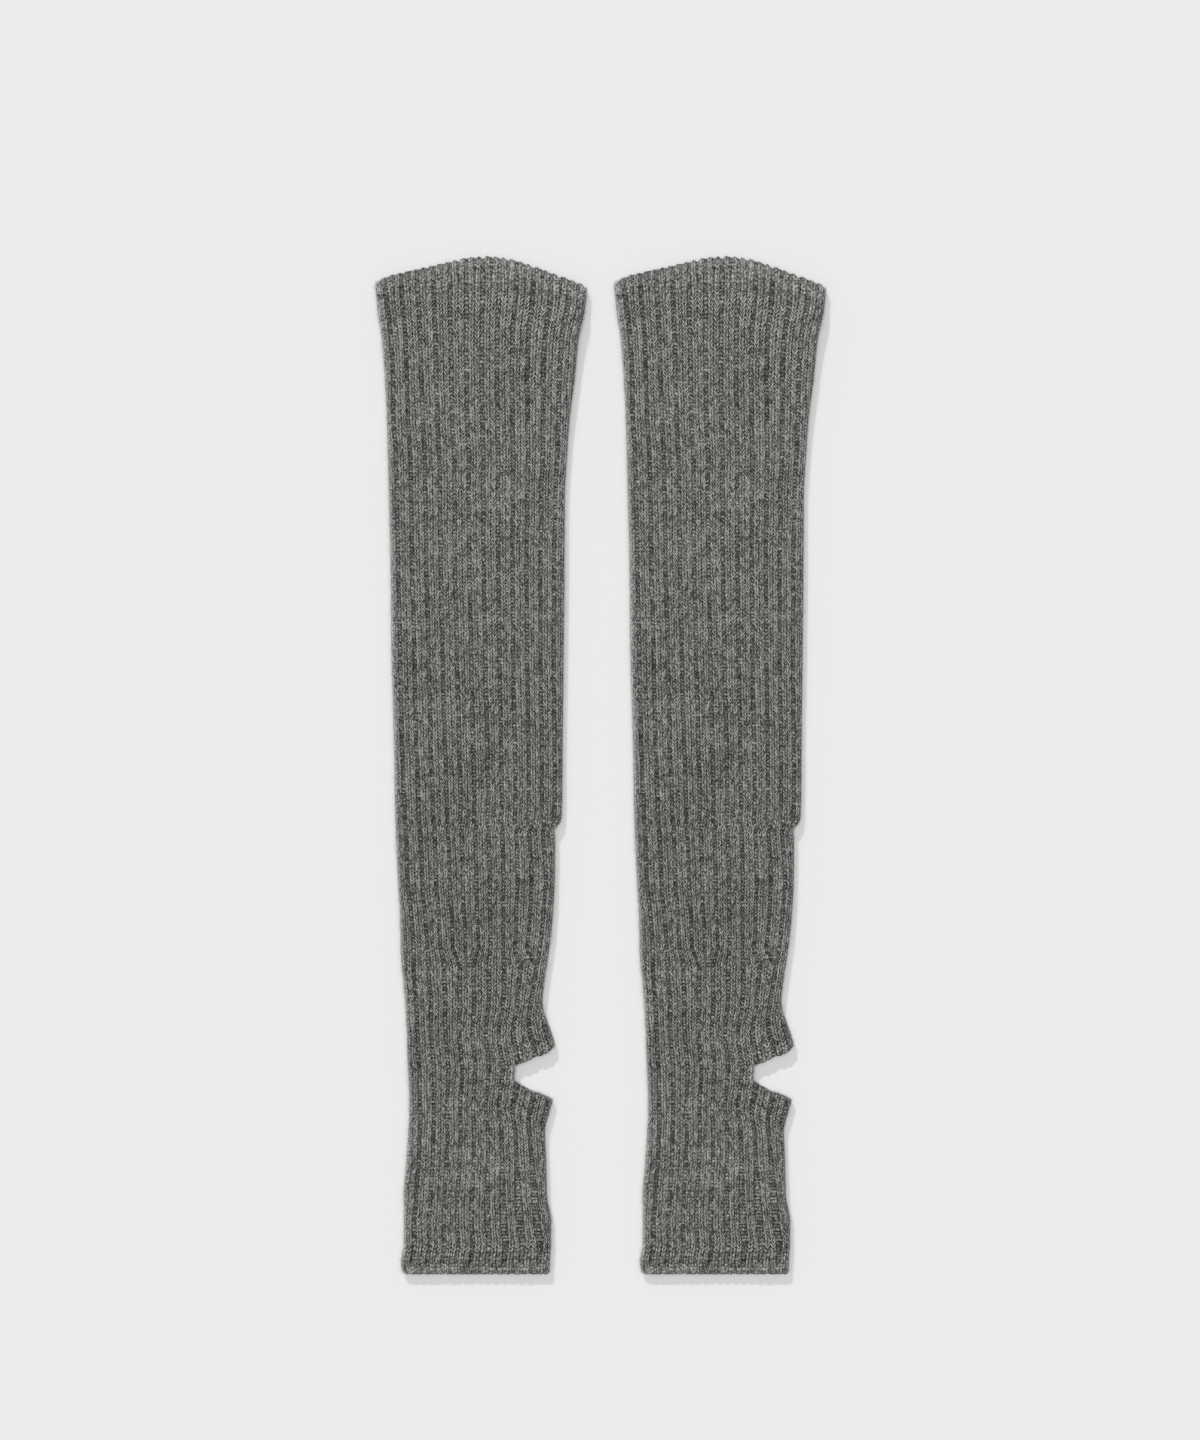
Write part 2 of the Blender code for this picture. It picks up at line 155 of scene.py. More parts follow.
# Courses of the tube: where each stretch of even ones ends, and how many it has. Then those of
# the welts, how many above the step the tube is split, and the rows of one stitch
FOOT_END = FOOT_SEAM + SEAM_GAP / 2.0
TOP_END = TOP_SEAM - SEAM_GAP / 2.0
STRETCHES = (
    (LOWER_LIP, 52), (UPPER_LIP, 4), (DECREASE_HEIGHT, 28), (STEP_HEIGHT, 40), (TOP_END, 149),
)
FOOT_WELT_COURSES = 4
TOP_WELT_COURSES = 6
SPLIT_AFTER = 6
PHASES = (0.0, 0.34, 0.7)
PITCH = 2.24

# The foot's ribs on the right are stretched open: heights and share of the width where that
# comes and goes, how much wider the furrows get, how much darker the painted shade of their gaps
# and how much flatter that of their roundness
OPENED_FROM = (10.0, 20.0)
OPENED_UNTIL = (40.0, 40.0)
OPENED_ACROSS = (0.45, 0.3)
OPENED_HALF = 0.1
OPENED_SHADE = 0.8
OPENED_FLAT = 0.65

# A rib is two wales between the halves of two furrows, and a welt parts the two wales towards
# its edge. Shares of the pitch
FURROW_HALF = 0.13
PARTED_HALF = 0.09
UNPARTED_HALF = 0.012
ACROSS = (-1.0, -2.0 / 3.0, -1.0 / 3.0, 0.0, 1.0 / 3.0, 2.0 / 3.0, 1.0)

# Heights below the crest of a rib, and painted light and shade on the yarn, across its two wales
ROUNDS = (
    (-0.58, -0.2, -0.05, 0.0, 0.0, -0.1, -0.55),
    (-0.55, -0.3, -0.06, 0.0, 0.0, -0.1, -0.5),
)
WALE_PAINTED_LIGHT = (
    (0.0, 0.22, 0.2, -0.06, 0.06, 0.14, -0.06),
    (-0.06, 0.02, 0.28, 0.2, 0.08, 0.12, 0.0),
)
FURROW_MIDDLE = -1.05
FURROW_SIDE = -0.95
TOP_FURROWS = -0.75
FOOT_FURROWS = -0.35

# Heights at each row of a stitch, from the middle of a wale to its side, then in the middle and
# at the side of a furrow
STITCH = (
    (-1.45, -0.35, -0.95), (-0.8, 0.0, -0.1), (-0.6, 0.0, -0.1),
    (-1.2, -0.35, -0.8), (-0.7, 0.35, -0.1), (-0.8, 0.25, -0.25),
)

# Painted shade at the same points, in the same measure: darker in the gaps and the furrows
STITCH_SHADES = (
    (-3.4, -0.7, -1.8), (-2.9, 0.6, -0.2), (-2.7, 0.6, -0.2),
    (-3.4, -0.7, -1.8), (-1.0, -0.1, -0.3), (-1.2, -0.1, -0.5),
)
FURROW_KIND = 4

# How far a stitch leans up from the middle of its wale, and where that fades near cut edges
SHEAR = 1.35
SHEAR_FADE = 9.0

# Unevenness of the courses, wales, stitches and ribs: number of its random values, height of a
# spot and spots across, then its size
DRIFT, DRIFT_SIZE = (20, 18.0, 6), 0.4
SWAY, SWAY_SIZE = (21, 10.0, 26), 0.22
SINK, SINK_SIZE = (22, 22.0, 8), 0.12
UNEVEN, UNEVEN_SIZE = (23, 12.0, 26), 0.4

# A stitch's own sink, least relief and spread of it, and how much of the relief is left where it
# stands upright and is lost where ribs merge
STITCH_SINK = 0.14
OWN_RELIEF = (0.75, 0.5)
UPRIGHT_RELIEF = 0.08
MERGED_LOSS = 0.85

# Shading of the relief: full depth, how much the ribs' roundness counts, and less in a welt
FULL_DEPTH = 2.2
RIB_SHADE = 0.95
WELT_SHADE = 0.50

# The opening: presses and beads of its upper and lower lips, the level and calm knit near them,
# and the pull and paler wale of its inner end. Pairs are strength and reach, but for the presses
# and the pull, which reaches along and across the leg
LIP_COLUMNS = 8.0
LIP_PRESSES = (0.6, 0.9)
LIP_REACH = 1.7
LIP_BEAD = 1.2
LIP_LEVEL = (0.7, 4.5)
LIP_CALM = (0.5, 9.0)
HOLE_PULL = (25.0, 16.0)
HOLE_WALE = (0.5, 4.0)

# The foot and top ends: strength and reach of their pressed edge, length of their teeth, the gap,
# base and rise of a tooth and its reach, and the plain surfaces' insets
END_PRESS = (1.0, 2.0)
TEETH = {0.0: -0.6, TOP_COURSE: 1.7}
TOOTH = (-0.60, -0.35, 0.85)
TOOTH_REACH = 3.5
END_INSETS = (0.4, -1.5)

# Tones of the yarn: their spread, how much of it is left at the ends and in the furrows, where it
# comes and goes, and the top welt's painted shade in its furrows and painted light on its wales,
# and the painted shade along its top edge
YARN_SPREAD = 0.27
END_SPREAD = 0.55
FURROW_SPREAD = 0.6
SPREAD_FROM = (8.0, 22.0)
SPREAD_UNTIL = (TOP_COURSE + 10.0, 60.0)
TOP_PAINTED_STREAKS = (-0.14, 0.05)
TOP_STREAK_REACH = 8.0
TOP_PAINTED_SHADE = (0.35, 2.5)

# How far the wool evens out round the left and right folds, its tone, painted shade and level
# there, the painted highlight on the left fold's fuzz, which faces the light, and the points that
# fill a fold below the knit. Reaches are angles
FOLD_SOFTNESS = (0.7, 0.45)
FOLD_TONE = 0.66
FOLD_SHADE = 0.30
FOLD_REACH = 1.2
FOLD_LEVEL = 0.8
LEFT_FOLD_HIGHLIGHT = 0.80
HIGHLIGHT_FROM = (0.25, 0.8)
FILL_STEPS = (0.25, 0.5, 0.75, 1.0)
FILL_SHADE = 0.2
FILL_TONE = 0.5

# How far points keep their spacing past a fold, and within how much they are then drawn together
WRAP_SPARE = 4.0
WRAP_REST = 1.6
SEED = 11

# Stitch points: distance from the left fold, place across the wale, kind, roundness of the rib,
# painted light and shade on the yarn, merging, number of the strand, side of the wale and opening
# of the rib
Stitches = namedtuple("Stitches", "distance across kind rounding tone merging strand side opened")

# The plain surfaces: step along the leg, the underside's ribs and their profile, and the columns
# of the space between the layers
PLAIN_STEP = 9.0
UNDER_RIBS = 12
UNDER_PROFILE = ((0.0, 0.7), (0.22, 0.12), (0.5, 0.0), (0.78, 0.12))
INNER_COLUMNS = 9

# Loose fibres along the edges: how many a millimetre, their sizes, directions and tones, the
# roots' least and greatest height and depth inside, limits of the tips, and density on each edge
FIBRES = 6.0
FIBRE_SEED = 10
FIBRE_LENGTH = 1.15
LEFT_FIBRE_LENGTH = 1.3 * FIBRE_LENGTH
FIBRE_LENGTHS = (0.3, 3.4)
FIBRE_RADIUS = 0.04
FIBRE_TURN = 0.8
FIBRE_RISE = 0.5
FIBRE_TONES = (0.3, 1.0)
FOLD_ROOTS = (1.6, 4.2, 0.5)
EDGE_ROOTS = (0.8, 4.4, 0.9)
FIBRE_TIPS = (0.15, 5.2)
LONGEST_STEP = 12.0
LEFT_DENSITY = 2.4
RIGHT_DENSITY = 1.3
END_DENSITY = 1.0
LIP_DENSITY = 1.5
HOLE_DENSITY = 7.0

# How much lighter or darker the yarn is, by height
TONES = (
    (0.0, -0.05), (3.5, -0.04), (6.5, -0.13), (11.0, 0.01), (16.0, -0.07), (22.0, -0.09),
    (30.0, -0.04), (60.0, 0.0), (150.0, -0.05), (330.0, -0.08), (450.0, 0.03), (640.0, 0.06),
)

# The two wools: their darkest, middle and lightest fibres
RIB_WOOL = ((0.023, 0.025, 0.022), (0.157, 0.165, 0.151), (0.440, 0.452, 0.425))
WELT_WOOL = ((0.024, 0.026, 0.023), (0.161, 0.169, 0.157), (0.445, 0.457, 0.434))

# Noises of the wool: scale and detail. Flecks and fibres are drawn out along the leg
FLECKS = (1050.0, 1.0)
MOTTLE = (190.0, 2.0)
CLOUD = (45.0, 2.0)
FIBROUS = (2600.0, 3.0)
DRAWN_OUT = (1.0, 0.72, 1.0)
WOOL_BUMP = {"Strength": 0.55, "Distance": 0.00035}
WOOL_SURFACE = {
    "Roughness": 0.95, "Specular IOR Level": 0.25, "Sheen Weight": 0.12, "Sheen Roughness": 0.45,
}

# How much each source counts in the wool's tone, the painted shade among them, and the level that
#  is taken off
YARN_MIX = 0.55
PAINTED_SHADE_MIX = 0.55
FLECK_MIX = 2.35
MOTTLE_MIX = 0.15
MIX_LEVEL = 0.885

# The floor: tone, reach and how far below the wool it lies, in metres
FLOOR_TONE = 0.784
FLOOR_SURFACE = {
    "Base Color": (FLOOR_TONE, FLOOR_TONE, FLOOR_TONE, 1.0), "Roughness": 1.0,
    "Specular IOR Level": 0.0,
}
FLOOR_REACH = 12.0
FLOOR_DROP = 0.00005

# Light from all round, and two lamps: their strength, width in degrees and direction of travel
WORLD_LIGHT = 0.35
KEY_LIGHT = (1.68, 2.2, (0.80, -1.95, -1.0))
TOP_LIGHT = (1.52, 36.0, (0.0, 0.0, -1.0))

# The camera: place, lens with sensor in millimetres, and reach
CAMERA_PLACE = (-0.0007, 0.02926, 2.563)
CAMERA_LENS = (100.0, 36.0)
CAMERA_REACH = 100.0


def smooth(t):
    """0 to 1 with level ends."""
    t = np.clip(t, 0.0, 1.0)
    return t * t * (3.0 - 2.0 * t)


def fade(distance, reach):
    """1 at no distance, falling to 0 at the reach."""
    return 1.0 - smooth(distance / reach)


def curve(xs, ys, at):
    """A smooth curve through points, rising and falling only where they do. Each y may be an array
    shaped like at."""
    at = np.clip(at, xs[0], xs[-1])
    steps = np.diff(xs).reshape((-1,) + (1,) * (ys.ndim - 1))
    slopes = np.diff(ys, axis=0) / steps
    agree = slopes[:-1] * slopes[1:]
    both = np.where(agree > 0.0, slopes[:-1] + slopes[1:], 1.0)
    tangents = np.concatenate(
        [slopes[:1], np.where(agree > 0.0, 2.0 * agree / both, 0.0), slopes[-1:]]
    )
    low = np.clip(np.searchsorted(xs, at, side="left") - 1, 0, len(xs) - 2)
    step = xs[low + 1] - xs[low]
    t = (at - xs[low]) / step

    def pick(values, place):
        many = values.ndim > 1
        return np.take_along_axis(values, place[None], axis=0)[0] if many else values[place]

    return (
        pick(ys, low) * (1.0 + 2.0 * t) * (1.0 - t) ** 2
        + pick(tangents, low) * step * t * (1.0 - t) ** 2
        + pick(ys, low + 1) * t * t * (3.0 - 2.0 * t)
        + pick(tangents, low + 1) * step * t * t * (t - 1.0)
    )


def drifted(share, course, width):
    """The share of the width where a rib line runs, from its share at even spacing."""
    share, course, width = np.broadcast_arrays(share, course, width)
    none = np.zeros_like(course)
    drifts = [none, *[curve(DRIFT_HEIGHTS, drift, course) for drift in DRIFTS], none]
    return share + curve(np.linspace(0.0, 1.0, len(drifts)), np.array(drifts), share) / width


def lip_shift(share, course):
    """How far the opening's slanted lips draw a course up or down."""
    across = (share - HOLE_SHARE) / (1.0 - HOLE_SHARE)
    upper = curve(LIP_SHARES, UPPER_TURNS, across)
    lower = curve(LIP_SHARES, LOWER_TURNS, across)
    above = upper * fade(course - UPPER_LIP, UPPER_LIP_REACH)
    below = lower * fade(LOWER_LIP - course, LOWER_LIP_REACH)
    part = (course - LOWER_LIP) / (UPPER_LIP - LOWER_LIP)
    between = lower + (upper - lower) * part
    shift = np.where(course >= UPPER_LIP, above, np.where(part <= 0.0, below, between))
    return np.where(across <= 0.0, 0.0, shift)


def height_at(share, course):
    """Height of a course above the foot end, where it crosses a share of the width."""
    rise = curve(TOP_SHARES, TOP_RISES, share)
    arch = np.maximum(course - ARCH_START, 0.0) / (TOP_COURSE - ARCH_START)
    return course + rise * arch**ARCH_POWER + lip_shift(share, course)


def lift_at(share, height):
    """How far the cloth lifts off the floor."""
    return curve(LIFT_HEIGHTS, LIFTS, height) * smooth((share - LIFT_START) / (1.0 - LIFT_START))


def fold_places(course):
    """Where the left and right folds cross a course."""
    to_end = np.clip(np.minimum(course, TOP_COURSE - course), 0.0, CORNER_RADIUS)
    inset = CORNER_RADIUS - np.sqrt(CORNER_RADIUS**2 - (CORNER_RADIUS - to_end) ** 2)
    left = curve(HEIGHTS, LEFTS, height_at(np.zeros_like(course), course)) + inset
    right = curve(HEIGHTS, RIGHTS, height_at(np.ones_like(course), course)) - inset
    return left, right


def rib_layout(courses, ribs):
    """Furrow lines between the given ribs at each course, as distances from the left fold, with the
    line beyond either fold, how far each rib has merged, and how much painted shade each furrow
    takes."""
    widths = np.ones((len(courses), RIBS))
    widths[:, 0] = curve(HEIGHTS, BEFORES, courses)
    widths[:, -1] = curve(HEIGHTS, AFTERS, courses)
    merged = np.zeros_like(widths)
    drawn = np.zeros((len(courses), RIBS + 1))
    for rib, joins, height, reach, least, neighbours in DECREASES:
        above, below = courses - height, courses < height
        closing = np.where(below, 0.0, fade(above, reach))
        tight = np.where(below, 0.0, fade(above, DRAWN_REACH * reach))
        for line in (rib if joins is None else joins, rib + 1):
            drawn[:, line] = np.maximum(drawn[:, line], tight)
        narrowed = [rib] if joins is None else [rib, joins]
        merging = [rib - 1, rib, min(rib + 1, RIBS - 1)] if joins is None else narrowed
        for beside in merging:
            merged[:, beside] = np.maximum(merged[:, beside], fade(np.abs(above), SHEAR_FADE))
        for each in narrowed:
            widths[:, each] *= 1.0 - (1.0 - least) * closing
        lost = np.where(below, 1.0, (1.0 - least) * closing * len(narrowed))
        passed = smooth((height + DECREASE_SPREAD - courses) / (2.0 * DECREASE_SPREAD))
        for beside in neighbours:
            widths[:, beside] += (lost - passed) / len(neighbours)
    widths, merged = widths[:, ribs], merged[:, ribs]
    drawn = drawn[:, [*ribs, ribs[-1] + 1]]
    left, right = fold_places(courses)
    width = (right - left)[:, None]
    total = widths.sum(axis=1)[:, None]
    places = np.cumsum(widths, axis=1)[:, :-1] / total
    lines = drifted(places, courses[:, None], width) * width
    before = lines[:, :1] - width / total
    after = lines[:, -1:] + np.maximum(widths[:, -1:], 1.0) * (width / total)
    return np.hstack([before, lines, after]), merged, drawn


def opened_ribs(courses, count):
    """How far each of so many ribs is stretched open at each course."""
    comes = smooth((courses - OPENED_FROM[0]) / OPENED_FROM[1])
    goes = fade(courses - OPENED_UNTIL[0], OPENED_UNTIL[1])
    across = (np.arange(count) + 0.5) / count
    return (comes * goes)[:, None] * smooth((across - OPENED_ACROSS[0]) / OPENED_ACROSS[1])


def columns_of(lines, merged, drawn, opened, parted, furrows):
    """The stitch points of each course, in columns. Towards the edge of a welt the two wales of a
    rib part, with furrows of one depth."""
    found = []
    part = np.zeros(len(lines)) if parted is None else parted

    def add(rib, place, side, kind, rounding, tone, strand):
        of_rib = (merged[:, rib], strand, side, opened[:, rib])
        found.append(np.broadcast_arrays(place, abs(side), kind, rounding, tone, *of_rib))

    def turned_into(near_tube, near_edge):
        return near_tube + (near_edge - near_tube) * part

    inner = 0.0 if parted is None else turned_into(UNPARTED_HALF, PARTED_HALF)
    middle = turned_into(FURROW_MIDDLE, furrows)
    beside = turned_into(FURROW_SIDE, 0.9 * furrows)
    valley = turned_into(ROUNDS[0][-1], furrows)
    for rib in range(lines.shape[1] - 1):
        start, pitch = lines[:, rib], lines[:, rib + 1] - lines[:, rib]
        outer = turned_into(FURROW_HALF + OPENED_HALF * opened[:, rib], PARTED_HALF)
        strand = 4 * rib
        # Painted shade in the furrows just above a decrease
        dark, far_dark = -DRAWN_FURROW_SHADE * drawn[:, rib], -DRAWN_FURROW_SHADE * drawn[:, rib + 1]
        add(rib, start, 1.0, FURROW_KIND, middle, dark, strand)
        add(rib, start + 0.5 * outer * pitch, 1.0, FURROW_KIND + 1, beside, dark, strand)
        for number, (low, high) in enumerate(((outer, 0.5 - inner), (0.5 + inner, 1.0 - outer))):
            for step, across in enumerate(ACROSS):
                if parted is None and number == 0 and step == len(ACROSS) - 1:
                    continue
                place = start + pitch * (low + (high - low) * (across + 1.0) / 2.0)
                kind = int(round(abs(across) * 3.0))
                # Painted light on the stitch legs that face the light, painted shade at the wales'
                # sides
                rounding, tone = ROUNDS[number][step], WALE_PAINTED_LIGHT[number][step]
                add(rib, place, across, kind, rounding, tone, strand + 1 + 2 * number)
            if parted is not None and number == 0:
                add(rib, start + 0.5 * pitch, 1.0, FURROW_KIND, valley, 0.0, strand + 2)
        far = start + pitch * (1.0 - 0.5 * outer)
        add(rib, far, 1.0, FURROW_KIND + 1, beside, far_dark, strand + 4)
    add(rib, lines[:, -1], 1.0, FURROW_KIND, middle, far_dark, strand + 4)
    return Stitches(*[np.array(values).T for values in zip(*found)])


def unevenness(kind, courses, shares):
    """Smooth random values from -1 to 1 over the tube: one for so many millimetres of height, and
    so many across."""
    number, height, spots = kind
    table = (int(LEG_LENGTH / height) + 4, spots + 3)
    values = np.random.RandomState(SEED + number).uniform(-1.0, 1.0, table)
    up = courses / height + 1.0
    over = np.clip(shares, 0.0, 1.0) * spots
    i, j = np.floor(up).astype(int), np.floor(over).astype(int)
    s, t = smooth(up - i), smooth(over - j)
    low = values[i, j] * (1.0 - t) + values[i, j + 1] * t
    high = values[i + 1, j] * (1.0 - t) + values[i + 1, j + 1] * t
    return low * (1.0 - s) + high * s


def strand_tones(random, phases, knit):
    """How light the yarn is, from 0 to 1: each leg of each stitch has its own tone, and the points
    between two legs or two stitches share theirs."""
    rows = len(phases)
    stitches, legs = rows // len(PHASES) + 3, 2 * int(knit.strand.max()) + 6
    tones = np.clip(random.normal(0.5, YARN_SPREAD, (stitches, legs)), 0.0, 1.0)
    stitch = np.arange(rows)[:, None] // len(PHASES) + 1
    leg = 2 * knit.strand.astype(int) + (knit.side > 0.0) + 1
    middle = knit.kind == 0
    beside = np.where(middle | (knit.side > 0.0), leg + 1, leg - 1)
    share = np.where(middle | (knit.kind == 3), 0.5, 0.0)
    tone = tones[stitch, leg] * (1.0 - share) + tones[stitch, beside] * share
    below = tones[stitch - 1, leg] * (1.0 - share) + tones[stitch - 1, beside] * share
    return np.where((phases == 0)[:, None], (tone + below) / 2.0, tone)


def drawn_to_hole(distance, courses, width, away):
    """Distances from the left fold, with the nearest column drawn onto the opening's inner end, and
    that column's number."""
    row = int(np.argmin(np.abs(courses - HOLE_MIDDLE)))
    hole = int(np.argmin(np.abs(distance[row] - HOLE_SHARE * width[row])))
    at_hole = distance[:, hole, None]
    pull = HOLE_SHARE * width[:, None] - at_hole
    beside = fade(np.abs(distance - at_hole), HOLE_PULL[1])
    return distance + pull * beside * fade(away, HOLE_PULL[0])[:, None], hole


def wrapped(to_fold):
    """Distances past a fold, drawn together where they would pass the underside."""
    past = np.maximum(-WRAP_SPARE - to_fold, 0.0)
    return np.where(past > 0.0, -WRAP_SPARE - WRAP_REST * np.tanh(past / WRAP_REST), to_fold)


def filled(values, left_goal=0.0, right_goal=None):
    """Values with more columns on either side, on their way to a goal."""
    right_goal = left_goal if right_goal is None else right_goal
    left, right = values[:, :1], values[:, -1:]
    before = [left + (left_goal - left) * step for step in FILL_STEPS[::-1]]
    after = [right + (right_goal - right) * step for step in FILL_STEPS]
    return np.hstack([*before, values, *after])


class Shell:
    """Points and faces of one closed piece, gathered before they become a mesh."""

    def __init__(self):
        self.points, self.faces, self.flat, self.count = [], [], [], 0
        self.depths, self.yarns = [], []

    def add(self, points, depths=0.0, yarns=0.5):
        """Numbers of the added points, in the shape of their grid."""
        shape = points.shape[:-1]
        self.points.append(points.reshape(-1, 3))
        self.depths.append(np.broadcast_to(depths, shape).ravel())
        self.yarns.append(np.broadcast_to(yarns, shape).ravel())
        start, self.count = self.count, self.count + int(np.prod(shape))
        return np.arange(start, self.count).reshape(shape)

    def grid(self, ids):
        """Faces between the rows and columns of a grid."""
        corners = (ids[:-1, :-1], ids[:-1, 1:], ids[1:, 1:], ids[1:, :-1])
        faces = np.stack([corner.ravel() for corner in corners], axis=1)
        self.faces += faces.tolist()
        self.flat += [False] * len(faces)

    def zip(self, first_keys, first, second_keys, second, flat=False):
        """Triangles between two lines of points whose keys rise."""
        i = j = 0
        while i < len(first) - 1 or j < len(second) - 1:
            next_first = first_keys[i + 1] if i < len(first) - 1 else math.inf
            next_second = second_keys[j + 1] if j < len(second) - 1 else math.inf
            on_first = next_first <= next_second
            middle = first[i + 1] if on_first else second[j + 1]
            self.faces.append([int(first[i]), int(middle), int(second[j])])
            self.flat.append(flat)
            i, j = i + on_first, j + (not on_first)

    def mesh(self, name):
        """A mesh with faces turned outwards, smooth all over but for the cut edges."""
        points = np.vstack(self.points) * MM
        mesh = bpy.data.meshes.new(name)
        mesh.from_pydata(points.tolist(), [], self.faces)
        mesh.polygons.foreach_set("use_smooth", [not flat for flat in self.flat])
        # The depth attribute holds painted shade rather than a depth, and the yarn attribute the
        # yarn's tone with its painted light and shade
        for label, values in (("depth", self.depths), ("yarn", self.yarns)):
            made = mesh.attributes.new(label, "FLOAT", "POINT")
            made.data.foreach_set("value", np.concatenate(values).astype(np.float32))
        bm = bmesh.new()
        bm.from_mesh(mesh)
        bmesh.ops.recalc_face_normals(bm, faces=bm.faces)
        bm.to_mesh(mesh)
        bm.free()
        return mesh


def relief_of(knit, phases, place, loose, inner, to_edge, random):
    """Depth of each point below the crest of the ribs, and the painted shade there: darker in the
    gaps between stitches, in the furrows and where stitches sink.
    """
    rows = len(phases)
    each = random.uniform(0.0, 1.0, (rows // len(PHASES) + 2, int(knit.strand.max()) + 2))
    stitch = np.arange(rows)[:, None] // len(PHASES)
    own = 0.5 + (each[stitch, knit.strand.astype(int)] - 0.5) * inner
    calm = UPRIGHT_RELIEF + (1.0 - UPRIGHT_RELIEF) * loose
    calm = calm * (1.0 - MERGED_LOSS * knit.merging)

    def along_stitches(table):
        """Values of a table of stitch points, evened out where stitches stand upright."""
        table = np.array(table)
        even = table.mean(axis=1)[knit.kind.astype(int)]
        value = table[knit.kind.astype(int), phases[:, None]]
        return (even + (value - even) * calm) * (OWN_RELIEF[0] + OWN_RELIEF[1] * own)

    sink = STITCH_SINK * own + SINK_SIZE * (1.0 + unevenness(SINK, *place))
    depth = along_stitches(STITCH) + knit.rounding - sink
    stretched = np.where(knit.kind >= FURROW_KIND, knit.opened, 0.0)
    # Painted shade: darker in the gaps between stitches, more so in opened furrows, and in the
    # ribs' furrows
    gaps = along_stitches(STITCH_SHADES) * (1.0 + OPENED_SHADE * stretched)
    rounding = knit.rounding * (1.0 - OPENED_FLAT * stretched)
    uneven = RIB_SHADE * (1.0 + UNEVEN_SIZE * unevenness(UNEVEN, *place))
    relief = (1.0 + (WELT_SHADE - 1.0) * to_edge) * (gaps + uneven * rounding)
    return depth, (sink - relief) / FULL_DEPTH


def yarn_of(knit, courses, phases, spread, ends, random):
    """How light the yarn is at each point, with its painted light and shade, without the opening's
    end and the folds.
    """
    in_furrow = knit.kind >= FURROW_KIND
    come = smooth((courses - SPREAD_FROM[0]) / SPREAD_FROM[1])
    go = smooth((SPREAD_UNTIL[0] - courses) / SPREAD_UNTIL[1])
    spread = spread * (END_SPREAD + (1.0 - END_SPREAD) * come * go)[:, None]
    own = strand_tones(random, phases, knit) - 0.5
    yarn = 0.5 + own * np.where(in_furrow, FURROW_SPREAD, 1.0) * spread + knit.tone
    yarn = yarn + np.interp(courses, *np.array(TONES).T)[:, None]
    if TOP_COURSE in ends:
        to_top = TOP_COURSE - courses[:, None]
        # Painted shade in the top welt's furrows and along its top edge, painted light on its wales
        yarn = yarn + np.where(in_furrow, *TOP_PAINTED_STREAKS) * fade(to_top, TOP_STREAK_REACH)
        yarn = yarn - TOP_PAINTED_SHADE[0] * fade(to_top, TOP_PAINTED_SHADE[1])
    return yarn


